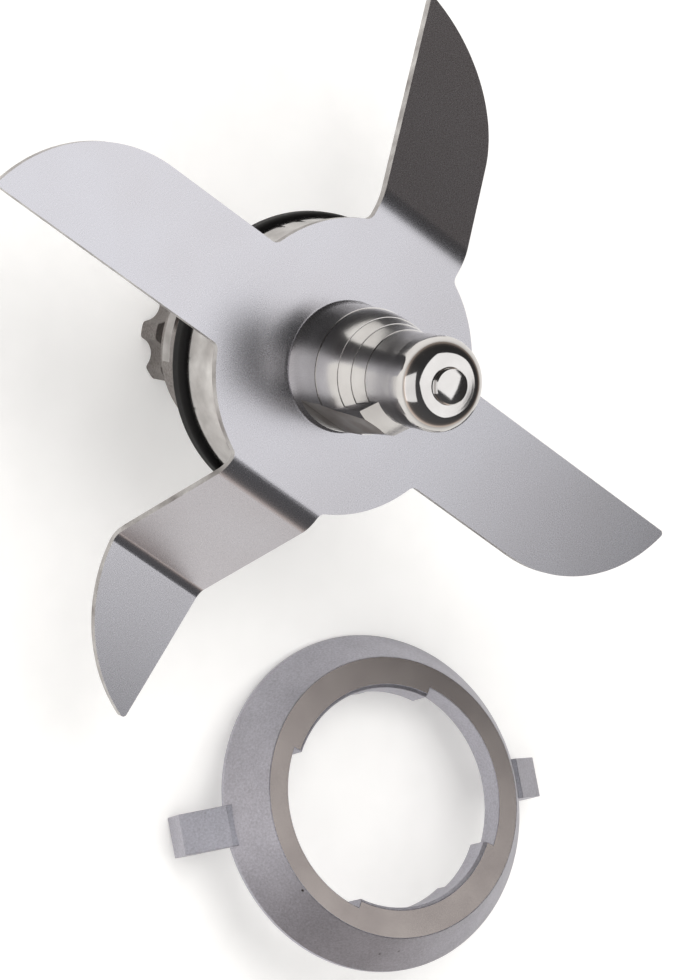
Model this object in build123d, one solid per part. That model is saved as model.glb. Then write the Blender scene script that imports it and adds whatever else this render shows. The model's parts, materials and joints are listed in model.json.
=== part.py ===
"""Blade unit of a kitchen blender, with the bayonet ring that holds it in the jar.

Millimetres. The shaft stands along +Z with the cap nut up. The origin lies on the shaft axis in
the plane where the jar seal rests on the floor of the jar. The unit stands on its drive coupling,
and the retaining ring lies beside it on the same surface, on its two ears and one edge of its rim.
"""
from build123d import *
import math
import os

# Jar seal
SEAL_THICKNESS = 3.0
SEAL_RADIUS = 19.15
SEAL_SEAT_STEP = 0.2
SEAL_EDGE_ROUND = 1.0
SEAL_STEP = 0.5

# Bearing housing
DRUM_HEIGHT = 7.0
DRUM_TOP_RADIUS = 18.2
DRUM_RIM_RADIUS = 18.5
DRUM_RIM_CHAMFER = 0.4
DRUM_TOP_ROUND = 0.6
BOSS_RADIUS = 14.8
BOSS_DEPTH = 5.4
TAIL_RADIUS = 13.4
TAIL_CHAMFER = 0.6
TAIL_NECK_DEPTH = 0.4
TAIL_NECK_MARGIN = 0.3
LUG_REACH = 1.4
LUG_THICKNESS = 1.9
LUG_SWEEP = 70.0
LUG_ANGLES = (90.0, 270.0)
HOUSING_SHOULDER_TOP = -3.0
HOUSING_SHOULDER_LENGTH = 3.0
HOUSING_SHOULDER_REACH = 1.4
HOUSING_END_WALL = 1.3

# Ball bearings, two alike
BEARING_BORE = 8.0
BEARING_OUTSIDE = 22.0
BEARING_WIDTH = 7.0
INNER_RACE_WALL = 1.9
OUTER_RACE_WALL = 1.9
RACE_CHAMFER = 0.3
BALL_COUNT = 7
BALL_RADIUS = 1.98
BALL_CLEARANCE = 0.05
CAGE_WALL = 1.8
CAGE_DEPTH_BELOW = 2.6
CAGE_DEPTH_ABOVE = 1.0
CAGE_POCKET_CLEARANCE = 0.12
SHIELD_THICKNESS = 0.35
SHIELD_INSET = 0.15
SHIELD_GAP = 0.3

# Circlip under the lower bearing
CIRCLIP_THICKNESS = 1.0
CIRCLIP_WIDTH = 1.5
CIRCLIP_GAP_ANGLE = 26.0
CIRCLIP_EYE_RADIUS = 1.5
CIRCLIP_EYE_HOLE_RADIUS = 0.6
CIRCLIP_GROOVE_DEPTH = 0.7
CIRCLIP_GROOVE_PLAY = 0.1

# Shaft seal above the upper bearing
SHAFT_SEAL_STANDOFF = 0.3
SHAFT_SEAL_HEIGHT = 5.2
SHAFT_SEAL_WALL = 0.8
SHAFT_SEAL_FLANGE_RADIUS = 8.0
LIP_CLEARANCE = 0.05
LIP_ROOT_WIDTH = 1.3
LIP_HEIGHT = 3.4
GARTER_RADIUS = 7.15
GARTER_WIRE_RADIUS = 0.5

# Spindle
COLLAR_RADIUS = 5.5
SPINDLE_FLAT = 3.3
SPINDLE_TIP_IN_NUT = 15.0
LOWER_FLAT = 3.4
LOWER_FLAT_START = 2.0
LOWER_THREAD_RADIUS = 2.5
KEY_CLEARANCE = 0.05
SPACER_WALL = 1.6

# Blade, pressed from sheet
BLADE_CLEARANCE = 0.7
BLADE_THICKNESS = 1.0
BLADE_HUB_RADIUS = 19.0
BLADE_CORNER_RADIUS = 1.2
BLADE_STRAIGHT_EDGE = 7.4
BLADE_BACK_EDGE = 7.5
BLADE_TIP_ROUND = 0.5
BEND_INNER_RADIUS = 1.2
FLAT_WING_LENGTH = 55.0
FLAT_WING_CURVE_START = 35.5
RAISED_WING_LENGTH = 55.2
RAISED_WING_CURVE_START = 36.0
RAISED_WING_BEND = 20.4
RAISED_WING_ANGLE = -28.0
CRANKED_WING_LENGTH = 59.4
CRANKED_WING_CURVE_START = 38.4
CRANKED_WING_FIRST_BEND = 19.1
CRANKED_WING_FIRST_ANGLE = -54.0
CRANKED_WING_SECOND_BEND = 39.9
CRANKED_WING_SECOND_ANGLE = -2.0

# Cap nut
NUT_BASE_RADIUS = 8.5
NUT_BASE_CONE_HEIGHT = 1.2
NUT_BARREL_RADIUS = 8.1
NUT_BARREL_HEIGHT = 5.8
NUT_STEP = 0.12
NUT_SHOULDER_RADIUS = 6.5
NUT_SHOULDER_HEIGHT = 11.4
NUT_NECK_RADIUS = 5.8
NUT_NECK_HEIGHT = 16.6
NUT_HEAD_RADIUS = 6.0
NUT_HEAD_HEIGHT = 19.2
NUT_HEAD_TOP = 21.9
NUT_RIM_RADIUS = 4.1
NUT_RIM_HEIGHT = 24.1
NUT_END_RADIUS = 2.3
NUT_HEIGHT = 25.6
NUT_END_RIM = 0.15
NUT_END_DISH = 0.35
NUT_BORE_TIP = 0.8
NUT_LAND_FLAT = 7.2
NUT_LAND_HALF_WIDTH = 3.0
NUT_LAND_TOP = 13.8
NUT_LAND_TOP_RADIUS = 7.4
NUT_LAND_RUNOUT = 3.0
NUT_BARREL_LEAN = (-0.06, 1.0)
NUT_DOME_LEAN = (-1.0, 0.25)

# Drive coupling
COUPLING_HUB_RADIUS = 5.0
COUPLING_HUB_LENGTH = 11.3
STAR_THICKNESS = 4.0
STAR_TIP_RADIUS = 8.0
STAR_LOBES = 8
STAR_FLUTE_RADIUS = 2.3
STAR_FLUTE_CENTRE = 8.9
STAR_TIP_ROUND = 0.6
STAR_POCKET_WALL = 1.2
STAR_POCKET_DEPTH = 1.8
DAMPER_THICKNESS = 1.5
COUPLING_WEB = 1.2
COUPLING_COUNTERBORE_RADIUS = 4.2
COUPLING_COUNTERBORE_DEPTH = 3.5
COUPLING_WASHER_THICKNESS = 0.6
COUPLING_WASHER_RADIUS = 4.0
COUPLING_NUT_ACROSS_FLATS = 7.0
COUPLING_NUT_HEIGHT = 2.4

# Retaining ring, in heights below its own top face
RING_TOP_RADIUS = 19.35
RING_RIM_RADIUS = 23.3
RING_RIM_DEPTH = 5.9
RING_LIP_DEPTH = 6.5
RING_WALL = 2.2
RING_BORE_CLEARANCE = 0.3
RING_NOTCH_CLEARANCE = 0.3
RING_TAB_DEPTH = 4.0
RING_INNER_WALL = 1.2
RING_TAB_SWEEP = 90.0
RING_TAB_ANGLES = (103.0, 283.0)
RING_STOP_SWEEP = 34.0
RING_STOP_DEPTH = 6.2
RING_BEVEL = 0.4
EAR_WIDTH = 5.6
EAR_ROOT_DEPTH = 4.9
EAR_SHOULDER_RADIUS = 28.6
EAR_SHOULDER_DEPTH = 9.0
EAR_TIP_RADIUS = 28.2
EAR_HEEL_RADIUS = 26.4
EAR_DEPTH = 13.0

# Where the ring lies beside the unit
RING_CENTRE_X = 38.3
RING_CENTRE_Y = 55.4
RING_LEAN_DIRECTION = -143.3

# Heights along the shaft
drum_bottom = SEAL_THICKNESS
drum_top = drum_bottom + DRUM_HEIGHT
blade_bottom = drum_top + BLADE_CLEARANCE
blade_top = blade_bottom + BLADE_THICKNESS
upper_bearing_bottom = HOUSING_SHOULDER_TOP
upper_bearing_top = upper_bearing_bottom + BEARING_WIDTH
lower_bearing_top = HOUSING_SHOULDER_TOP - HOUSING_SHOULDER_LENGTH
lower_bearing_bottom = lower_bearing_top - BEARING_WIDTH
groove_top = lower_bearing_bottom
groove_bottom = groove_top - CIRCLIP_THICKNESS - CIRCLIP_GROOVE_PLAY
tail_bottom = groove_bottom - HOUSING_END_WALL
coupling_top = lower_bearing_bottom
star_top = coupling_top - COUPLING_HUB_LENGTH
star_bottom = star_top - STAR_THICKNESS
counterbore_top = star_bottom + COUPLING_COUNTERBORE_DEPTH
journal_bottom = counterbore_top + COUPLING_WEB
lug_top = -BOSS_DEPTH
lug_bottom = lug_top - LUG_THICKNESS
neck_bottom = lug_bottom - TAIL_NECK_MARGIN
spindle_top = blade_top + SPINDLE_TIP_IN_NUT

# Radii that several pieces share
journal_radius = BEARING_BORE / 2
housing_bore = BEARING_OUTSIDE / 2
inner_race_radius = journal_radius + INNER_RACE_WALL
outer_race_bore = housing_bore - OUTER_RACE_WALL
pitch_radius = (inner_race_radius + outer_race_bore) / 2
seal_seat_radius = BOSS_RADIUS + SEAL_SEAT_STEP
lug_radius = BOSS_RADIUS + LUG_REACH
ring_bore = BOSS_RADIUS + RING_BORE_CLEARANCE
ring_notch_radius = lug_radius + RING_NOTCH_CLEARANCE

FAR = 200.0


def turned(*corners):
    """Solid of revolution about the shaft from (radius, height) corners."""
    return revolve(Plane.XZ * Polygon(*corners, align=None), Axis.Z)


def tube(inner, outer, bottom, top):
    """Plain ring between two radii and two heights."""
    return turned((inner, bottom), (outer, bottom), (outer, top), (inner, top))


def rod(radius, bottom, top):
    """Plain round bar between two heights."""
    return Pos(0, 0, bottom) * Cylinder(radius, top - bottom, align=(Align.CENTER, Align.CENTER, Align.MIN))


def block(x_low, x_high, y_low, y_high, z_low, z_high):
    """Box between two corners."""
    size = (x_high - x_low, y_high - y_low, z_high - z_low)
    return Pos(x_low, y_low, z_low) * Box(*size, align=(Align.MIN, Align.MIN, Align.MIN))


def sector(centre_angle, sweep, bottom, top, reach=FAR):
    """Pie slice about the shaft, less than half a turn wide."""
    half = math.radians(sweep / 2)
    corner = reach / math.cos(half)
    left = (corner * math.cos(half), corner * math.sin(half))
    right = (left[0], -left[1])
    slice_face = Polygon((0, 0), right, left, align=None)
    return Rot(0, 0, centre_angle) * Pos(0, 0, bottom) * extrude(slice_face, top - bottom)


def keyed_bar(radius, half_flat, bottom, top):
    """Round bar with two parallel flats that face along Y."""
    return rod(radius, bottom, top) & block(-FAR, FAR, -half_flat, half_flat, bottom, top)


# Jar seal: a flat rubber ring with a rounded outer edge and a low step inside
def jar_seal():
    step_radius = DRUM_RIM_RADIUS - SEAL_STEP
    body = tube(seal_seat_radius, SEAL_RADIUS, 0, SEAL_THICKNESS)
    outer_edges = body.edges().filter_by(GeomType.CIRCLE).sort_by(lambda edge: edge.radius)[-2:]
    body = fillet(outer_edges, SEAL_EDGE_ROUND)
    groove = tube(step_radius - SEAL_STEP, step_radius, -SEAL_STEP, SEAL_STEP)
    return body - groove


# Bearing housing: a turned drum over the seal, a boss through the jar and a tail with two lugs
def bearing_housing():
    drum = turned(
        (0, drum_bottom),
        (DRUM_RIM_RADIUS - DRUM_RIM_CHAMFER, drum_bottom),
        (DRUM_RIM_RADIUS, drum_bottom + DRUM_RIM_CHAMFER),
        (DRUM_TOP_RADIUS, drum_top - DRUM_TOP_ROUND),
        (DRUM_TOP_RADIUS - DRUM_TOP_ROUND, drum_top),
        (0, drum_top),
    )
    boss = rod(BOSS_RADIUS, lug_top, 0) + rod(seal_seat_radius, 0, drum_bottom)
    tail = turned(
        (0, tail_bottom),
        (TAIL_RADIUS - TAIL_CHAMFER, tail_bottom),
        (TAIL_RADIUS, tail_bottom + TAIL_CHAMFER),
        (TAIL_RADIUS, neck_bottom),
        (TAIL_RADIUS - TAIL_NECK_DEPTH, neck_bottom),
        (TAIL_RADIUS - TAIL_NECK_DEPTH, lug_top),
        (0, lug_top),
    )
    body = drum + boss + tail
    lug_ring = tube(TAIL_RADIUS - TAIL_CHAMFER, lug_radius, lug_bottom, lug_top)
    for angle in LUG_ANGLES:
        body += lug_ring & sector(angle, LUG_SWEEP, lug_bottom, lug_top)
    body -= rod(housing_bore, upper_bearing_bottom, drum_top)
    body -= rod(housing_bore, tail_bottom, lower_bearing_top)
    body -= rod(housing_bore - HOUSING_SHOULDER_REACH, lower_bearing_top, upper_bearing_bottom)
    return body - rod(housing_bore + CIRCLIP_GROOVE_DEPTH, groove_bottom, groove_top)


# Ball bearings: each is built about its own middle height
def groove_ring():
    """Ring of the balls' path, a little larger than the balls."""
    path_section = Pos(pitch_radius, 0) * Circle(BALL_RADIUS + BALL_CLEARANCE)
    return revolve(Plane.XZ * path_section, Axis.Z)


def race(inner, outer):
    """Bearing race with chamfered corners and a round groove."""
    half = BEARING_WIDTH / 2
    cut = RACE_CHAMFER
    body = turned(
        (inner + cut, -half),
        (outer - cut, -half),
        (outer, cut - half),
        (outer, half - cut),
        (outer - cut, half),
        (inner + cut, half),
        (inner, half - cut),
        (inner, cut - half),
    )
    return body - groove_ring()


def around(count, radius, piece):
    """Copies of a piece spread evenly on a circle about the shaft."""
    return [Rot(0, 0, 360 / count * n) * Pos(radius, 0, 0) * piece for n in range(count)]


def ball_set():
    return Compound(around(BALL_COUNT, pitch_radius, Sphere(BALL_RADIUS)))


def ball_cage():
    """Crown cage: a ring with pockets that are open at the top."""
    inner = pitch_radius - CAGE_WALL / 2
    outer = pitch_radius + CAGE_WALL / 2
    body = tube(inner, outer, -CAGE_DEPTH_BELOW, CAGE_DEPTH_ABOVE)
    for pocket in around(BALL_COUNT, pitch_radius, Sphere(BALL_RADIUS + CAGE_POCKET_CLEARANCE)):
        body -= pocket
    return body


def shield(side):
    """Thin cover in the outer race; side is 1 for the top one and -1 for the bottom one."""
    outer_face = side * (BEARING_WIDTH / 2 - SHIELD_INSET)
    inner_face = outer_face - side * SHIELD_THICKNESS
    low = min(outer_face, inner_face)
    high = max(outer_face, inner_face)
    return tube(inner_race_radius + SHIELD_GAP, outer_race_bore, low, high)


def bearing(name, bottom):
    """All pieces of one bearing whose lower face is at the given height."""
    middle = Pos(0, 0, bottom + BEARING_WIDTH / 2)
    return {
        f"{name}_inner_race": middle * race(journal_radius, inner_race_radius),
        f"{name}_outer_race": middle * race(outer_race_bore, housing_bore),
        f"{name}_balls": middle * ball_set(),
        f"{name}_cage": middle * ball_cage(),
        f"{name}_top_shield": middle * shield(1),
        f"{name}_bottom_shield": middle * shield(-1),
    }


# Circlip: a split spring ring in its groove, with two eyes at the gap
def circlip():
    top = groove_top - CIRCLIP_GROOVE_PLAY / 2
    bottom = top - CIRCLIP_THICKNESS
    outer = housing_bore + CIRCLIP_GROOVE_DEPTH - CIRCLIP_GROOVE_PLAY
    inner = outer - CIRCLIP_GROOVE_DEPTH - CIRCLIP_WIDTH
    body = tube(inner, outer, bottom, top)
    body -= sector(0, CIRCLIP_GAP_ANGLE, bottom, top)
    eye_radius = inner + CIRCLIP_EYE_RADIUS / 2
    eye_turn = CIRCLIP_GAP_ANGLE / 2 + math.degrees(CIRCLIP_EYE_RADIUS / inner)
    for turn in (eye_turn, -eye_turn):
        place = Rot(0, 0, turn) * Pos(eye_radius, 0, 0)
        body += place * rod(CIRCLIP_EYE_RADIUS, bottom, top)
        body -= place * rod(CIRCLIP_EYE_HOLE_RADIUS, bottom, top)
    return body & rod(outer, bottom, top)


# Shaft seal: a steel case, a rubber lip on the collar and a garter spring behind the lip
def seal_top():
    return upper_bearing_top + SHAFT_SEAL_STANDOFF + SHAFT_SEAL_HEIGHT


def shaft_seal_case():
    top = seal_top()
    wall_inside = housing_bore - SHAFT_SEAL_WALL
    return turned(
        (SHAFT_SEAL_FLANGE_RADIUS, top - SHAFT_SEAL_WALL),
        (wall_inside, top - SHAFT_SEAL_WALL),
        (wall_inside, top - SHAFT_SEAL_HEIGHT),
        (housing_bore, top - SHAFT_SEAL_HEIGHT),
        (housing_bore, top),
        (SHAFT_SEAL_FLANGE_RADIUS, top),
    )


def garter_height():
    return seal_top() - SHAFT_SEAL_WALL - LIP_HEIGHT / 2


def seal_spring():
    section = Pos(GARTER_RADIUS, garter_height()) * Circle(GARTER_WIRE_RADIUS)
    return revolve(Plane.XZ * section, Axis.Z)


def shaft_seal_lip():
    top = seal_top()
    root = top - SHAFT_SEAL_WALL
    tip_radius = COLLAR_RADIUS + LIP_CLEARANCE
    tip_height = garter_height()
    heel = root - LIP_HEIGHT
    throat = SHAFT_SEAL_FLANGE_RADIUS - LIP_ROOT_WIDTH
    body = turned(
        (throat, top),
        (SHAFT_SEAL_FLANGE_RADIUS, top),
        (SHAFT_SEAL_FLANGE_RADIUS, root),
        (GARTER_RADIUS, root),
        (GARTER_RADIUS, heel),
        (throat, heel),
        (tip_radius, tip_height - GARTER_WIRE_RADIUS / 2),
        (tip_radius, tip_height + GARTER_WIRE_RADIUS / 2),
    )
    return body - seal_spring()


# Spindle: keyed at the blade and at the coupling, with a collar on the upper bearing
def spindle():
    body = rod(COLLAR_RADIUS, upper_bearing_top, blade_bottom)
    body += keyed_bar(journal_radius, SPINDLE_FLAT, blade_bottom, spindle_top)
    flat_start = coupling_top - LOWER_FLAT_START
    body += rod(journal_radius, flat_start, upper_bearing_top)
    body += keyed_bar(journal_radius, LOWER_FLAT, journal_bottom, flat_start)
    thread_bottom = counterbore_top - COUPLING_WASHER_THICKNESS - COUPLING_NUT_HEIGHT
    return body + rod(LOWER_THREAD_RADIUS, thread_bottom, journal_bottom)


def spacer_sleeve():
    return tube(journal_radius, journal_radius + SPACER_WALL, lower_bearing_top, upper_bearing_bottom)


# Blade: one sheet with a round hub and four wings, two of them bent
WINGS = (
    {
        "direction": 270.0,
        "length": FLAT_WING_LENGTH,
        "curve_start": FLAT_WING_CURVE_START,
        "bends": (),
    },
    {
        "direction": 90.0,
        "length": FLAT_WING_LENGTH,
        "curve_start": FLAT_WING_CURVE_START,
        "bends": (),
    },
    {
        "direction": 180.0,
        "length": RAISED_WING_LENGTH,
        "curve_start": RAISED_WING_CURVE_START,
        "bends": ((RAISED_WING_BEND, RAISED_WING_ANGLE),),
    },
    {
        "direction": 0.0,
        "length": CRANKED_WING_LENGTH,
        "curve_start": CRANKED_WING_CURVE_START,
        "bends": (
            (CRANKED_WING_FIRST_BEND, CRANKED_WING_FIRST_ANGLE),
            (CRANKED_WING_SECOND_BEND, CRANKED_WING_SECOND_ANGLE),
        ),
    },
)


def wing_path(bends, length):
    """Corners of a wing's top face seen from the side, with the angle of each straight run."""
    points = [(0.0, 0.0)]
    angles = [0.0]
    travelled = 0.0
    for distance, angle in bends + ((length, None),):
        run = distance - travelled
        slope = math.radians(angles[-1])
        last = points[-1]
        points.append((last[0] + run * math.cos(slope), last[1] + run * math.sin(slope)))
        travelled = distance
        if angle is not None:
            angles.append(angle)
    return points, angles


def sheet_section(points, angles):
    """Side view of a bent sheet: the top line, and the same line one thickness lower."""
    lower = []
    for index, (x, z) in enumerate(points):
        before = math.radians(angles[max(index - 1, 0)])
        after = math.radians(angles[min(index, len(angles) - 1)])
        middle = (before + after) / 2
        reach = BLADE_THICKNESS / math.cos((after - before) / 2)
        lower.append((x + reach * math.sin(middle), z - reach * math.cos(middle)))
    section = Polygon(*points, *reversed(lower), align=None)
    for index in range(1, len(points) - 1):
        folds_down = angles[index] < angles[index - 1]
        outside = BEND_INNER_RADIUS + BLADE_THICKNESS
        top_radius = outside if folds_down else BEND_INNER_RADIUS
        low_radius = BEND_INNER_RADIUS if folds_down else outside
        for corner, radius in ((points[index], top_radius), (lower[index], low_radius)):
            nearest = section.vertices().sort_by_distance(Vector(*corner))[0]
            section = fillet(nearest, radius)
    return section


def tip_outline(length, curve_start, straight_end):
    """Outline of a wing seen square to its tip: one straight edge, and a back edge that curves in."""
    width = BLADE_STRAIGHT_EDGE + BLADE_BACK_EDGE
    run = length - curve_start
    arc_radius = (run ** 2 + width ** 2) / (2 * width)
    back = -BLADE_BACK_EDGE
    strip = Pos(0, (BLADE_STRAIGHT_EDGE + back) / 2) * Rectangle(2 * FAR, width)
    inner_part = Pos(straight_end - FAR, 0) * Rectangle(2 * FAR, 2 * FAR)
    disc = Pos(straight_end, back + arc_radius) * Circle(arc_radius)
    outline = (inner_part + disc) & strip
    tip = Vector(straight_end + run, BLADE_STRAIGHT_EDGE)
    return fillet(outline.vertices().sort_by_distance(tip)[0], BLADE_TIP_ROUND)


def wing(length, curve_start, bends, start):
    """One wing along +X with its top face at height zero, from the given distance outwards."""
    points, angles = wing_path(bends, length)
    section = Plane.XZ * sheet_section(points, angles)
    strip = extrude(section, FAR / 2, both=True)
    last_corner = points[-2]
    tip_run = length - curve_start
    corner_to_tip = math.dist(points[-2], points[-1])
    outline = tip_outline(length, curve_start, corner_to_tip - tip_run)
    stencil = extrude(outline, FAR, both=True)
    tip_frame = Pos(last_corner[0], 0, last_corner[1]) * Rot(0, -angles[-1], 0)
    return (strip & (tip_frame * stencil)) - block(-FAR, start, -FAR, FAR, -FAR, FAR)


def first_bend_start(bends):
    """Distance from the shaft at which the first bend of a wing begins."""
    distance, angle = bends[0]
    setback = (BEND_INNER_RADIUS + BLADE_THICKNESS) * math.tan(math.radians(abs(angle)) / 2)
    return distance - setback


def wing_stub_end(bends):
    """Distance from the shaft at which the flat middle hands over to a wing."""
    return first_bend_start(bends) if bends else BLADE_HUB_RADIUS + BLADE_CORNER_RADIUS


def blade_hub():
    """Flat middle of the blade with a stub for each wing and rounded inner corners."""
    width = BLADE_STRAIGHT_EDGE + BLADE_BACK_EDGE
    middle = (BLADE_STRAIGHT_EDGE - BLADE_BACK_EDGE) / 2
    face = Circle(BLADE_HUB_RADIUS)
    for one in WINGS:
        turn = Rot(0, 0, one["direction"])
        face += turn * Pos(BLADE_HUB_RADIUS, middle) * Rectangle(2 * BLADE_HUB_RADIUS, width)
    corners = [v for v in face.vertices() if math.isclose(math.hypot(v.X, v.Y), BLADE_HUB_RADIUS, abs_tol=1e-3)]
    face = fillet(corners, BLADE_CORNER_RADIUS)
    for one in WINGS:
        beyond = Pos(wing_stub_end(one["bends"]) + FAR / 2, middle) * Rectangle(FAR, width)
        face -= Rot(0, 0, one["direction"]) * beyond
    return Pos(0, 0, blade_bottom) * extrude(face, BLADE_THICKNESS)


def blade():
    body = blade_hub()
    for one in WINGS:
        start = wing_stub_end(one["bends"])
        arm = wing(one["length"], one["curve_start"], one["bends"], start)
        body += Pos(0, 0, blade_top) * Rot(0, 0, one["direction"]) * arm
    hole_radius = journal_radius + KEY_CLEARANCE
    return body - keyed_bar(hole_radius, SPINDLE_FLAT + KEY_CLEARANCE, blade_bottom, blade_top)


# Cap nut: a turned, polished nose with one flat land for the spanner
def cap_nut():
    with BuildLine(Plane.XZ) as outline:
        base = Polyline(
            (0, blade_top),
            (NUT_BASE_RADIUS, blade_top),
            (NUT_BARREL_RADIUS + NUT_STEP, blade_top + NUT_BASE_CONE_HEIGHT),
            (NUT_BARREL_RADIUS, blade_top + NUT_BARREL_HEIGHT),
            (NUT_BARREL_RADIUS - NUT_STEP, blade_top + NUT_BARREL_HEIGHT),
        )
        body = Spline(
            base @ 1,
            (NUT_SHOULDER_RADIUS, blade_top + NUT_SHOULDER_HEIGHT),
            (NUT_NECK_RADIUS, blade_top + NUT_NECK_HEIGHT),
            tangents=(NUT_BARREL_LEAN, (0, 1)),
        )
        head = Spline(
            body @ 1,
            (NUT_HEAD_RADIUS, blade_top + NUT_HEAD_HEIGHT),
            (NUT_HEAD_RADIUS, blade_top + NUT_HEAD_TOP),
            tangents=((0, 1), (0, 1)),
        )
        dome = Spline(
            head @ 1,
            (NUT_RIM_RADIUS, blade_top + NUT_RIM_HEIGHT),
            tangents=((0, 1), NUT_DOME_LEAN),
        )
        nose = Line(dome @ 1, (NUT_END_RADIUS, blade_top + NUT_HEIGHT))
        Polyline(nose @ 1, (0, blade_top + NUT_HEIGHT), (0, blade_top))
    body = revolve(make_face(outline.edges()), Axis.Z)
    dish_radius = NUT_END_RADIUS - NUT_END_RIM
    dish_sphere_radius = (dish_radius ** 2 + NUT_END_DISH ** 2) / (2 * NUT_END_DISH)
    dish_centre = blade_top + NUT_HEIGHT + dish_sphere_radius - NUT_END_DISH
    body -= Pos(0, 0, dish_centre) * Sphere(dish_sphere_radius)
    body += nut_land()
    body -= block(NUT_LAND_FLAT, FAR, -FAR, FAR, blade_top + NUT_BASE_CONE_HEIGHT, FAR)
    body -= rod(journal_radius, blade_top, spindle_top)
    bore_tip = Pos(0, 0, spindle_top) * Cone(
        journal_radius, 0, NUT_BORE_TIP, align=(Align.CENTER, Align.CENTER, Align.MIN)
    )
    return body - bore_tip


def nut_land():
    """Raised strip along the nut's side that carries the flat."""
    land_top = blade_top + NUT_LAND_TOP
    cone = turned(
        (0, blade_top),
        (NUT_BARREL_RADIUS, blade_top + NUT_BASE_CONE_HEIGHT),
        (NUT_LAND_TOP_RADIUS, land_top),
        (NUT_NECK_RADIUS, land_top + NUT_LAND_RUNOUT),
        (0, land_top + NUT_LAND_RUNOUT),
    )
    half = NUT_LAND_HALF_WIDTH
    return cone & block(0, FAR, -half, half, blade_top, land_top + NUT_LAND_RUNOUT)


# Drive coupling: a cast star under the unit, with its black insert, washer and nut
def star_face(tip_radius, flute_radius):
    face = Circle(tip_radius)
    for n in range(STAR_LOBES):
        flute = Pos(STAR_FLUTE_CENTRE, 0) * Circle(flute_radius)
        face -= Rot(0, 0, 360 / STAR_LOBES * n) * flute
    return face


def pocket_face():
    """The star's outline moved inwards by the wall round its pocket."""
    return star_face(STAR_TIP_RADIUS - STAR_POCKET_WALL, STAR_FLUTE_RADIUS + STAR_POCKET_WALL)


def drive_coupling():
    outline = star_face(STAR_TIP_RADIUS, STAR_FLUTE_RADIUS)
    outline = fillet(outline.vertices(), STAR_TIP_ROUND)
    star = Pos(0, 0, star_bottom) * extrude(outline, STAR_THICKNESS)
    pocket = Pos(0, 0, star_top - STAR_POCKET_DEPTH) * extrude(pocket_face(), STAR_POCKET_DEPTH)
    body = (star - pocket) + rod(COUPLING_HUB_RADIUS, star_bottom, coupling_top)
    body -= rod(COUPLING_COUNTERBORE_RADIUS, star_bottom, counterbore_top)
    body -= rod(LOWER_THREAD_RADIUS, counterbore_top, journal_bottom)
    flat_start = coupling_top - LOWER_FLAT_START
    body -= keyed_bar(journal_radius, LOWER_FLAT, journal_bottom, flat_start)
    return body - rod(journal_radius, flat_start, coupling_top)


def coupling_damper():
    bottom = star_top - STAR_POCKET_DEPTH
    body = Pos(0, 0, bottom) * extrude(pocket_face(), DAMPER_THICKNESS)
    return body - rod(COUPLING_HUB_RADIUS, bottom, star_top)


def coupling_washer():
    return tube(
        LOWER_THREAD_RADIUS,
        COUPLING_WASHER_RADIUS,
        counterbore_top - COUPLING_WASHER_THICKNESS,
        counterbore_top,
    )


def coupling_nut():
    top = counterbore_top - COUPLING_WASHER_THICKNESS
    bottom = top - COUPLING_NUT_HEIGHT
    across_corners = COUPLING_NUT_ACROSS_FLATS / math.cos(math.pi / 6)
    hexagon = Pos(0, 0, bottom) * extrude(RegularPolygon(across_corners / 2, 6), COUPLING_NUT_HEIGHT)
    return hexagon - rod(LOWER_THREAD_RADIUS, bottom, top)


# Retaining ring: a cast cone with a bayonet bore, two stops and two ears, top face at height zero
def ring_ear():
    """One ear along +X, as a bar cut to the ear's side view."""
    wall_slope = (RING_RIM_RADIUS - RING_TOP_RADIUS) / RING_RIM_DEPTH
    root_radius = RING_TOP_RADIUS + wall_slope * EAR_ROOT_DEPTH - RING_WALL / 2
    side = Polygon(
        (root_radius, -EAR_ROOT_DEPTH),
        (RING_RIM_RADIUS, -EAR_ROOT_DEPTH),
        (EAR_SHOULDER_RADIUS, -EAR_SHOULDER_DEPTH),
        (EAR_TIP_RADIUS, -EAR_DEPTH),
        (EAR_HEEL_RADIUS, -EAR_DEPTH),
        (RING_RIM_RADIUS, -EAR_SHOULDER_DEPTH),
        (root_radius, -RING_LIP_DEPTH),
        align=None,
    )
    return extrude(Plane.XZ * side, EAR_WIDTH / 2, both=True)


def ring_in_own_frame():
    inner_wall_radius = ring_notch_radius + RING_INNER_WALL
    body = turned(
        (ring_bore + RING_BEVEL, 0),
        (RING_TOP_RADIUS, 0),
        (RING_RIM_RADIUS, -RING_RIM_DEPTH),
        (RING_RIM_RADIUS, -RING_LIP_DEPTH),
        (RING_RIM_RADIUS - RING_WALL, -RING_LIP_DEPTH),
        (RING_RIM_RADIUS - RING_WALL, -RING_RIM_DEPTH),
        (inner_wall_radius, -RING_WALL),
        (inner_wall_radius, -RING_TAB_DEPTH),
        (ring_bore, -RING_TAB_DEPTH),
        (ring_bore, -RING_BEVEL),
    )
    notch_ring = tube(0, ring_notch_radius, -RING_TAB_DEPTH, 0)
    stop_ring = tube(ring_bore, inner_wall_radius, -RING_STOP_DEPTH, -RING_TAB_DEPTH)
    notch_sweep = 180 - RING_TAB_SWEEP
    for tab_angle in RING_TAB_ANGLES:
        notch_angle = tab_angle + 90
        body -= notch_ring & sector(notch_angle, notch_sweep, -RING_TAB_DEPTH, 0)
        body += stop_ring & sector(tab_angle, RING_STOP_SWEEP, -RING_STOP_DEPTH, -RING_TAB_DEPTH)
    for turn in (0, 180):
        body += Rot(0, 0, turn) * ring_ear()
    return body


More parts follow.
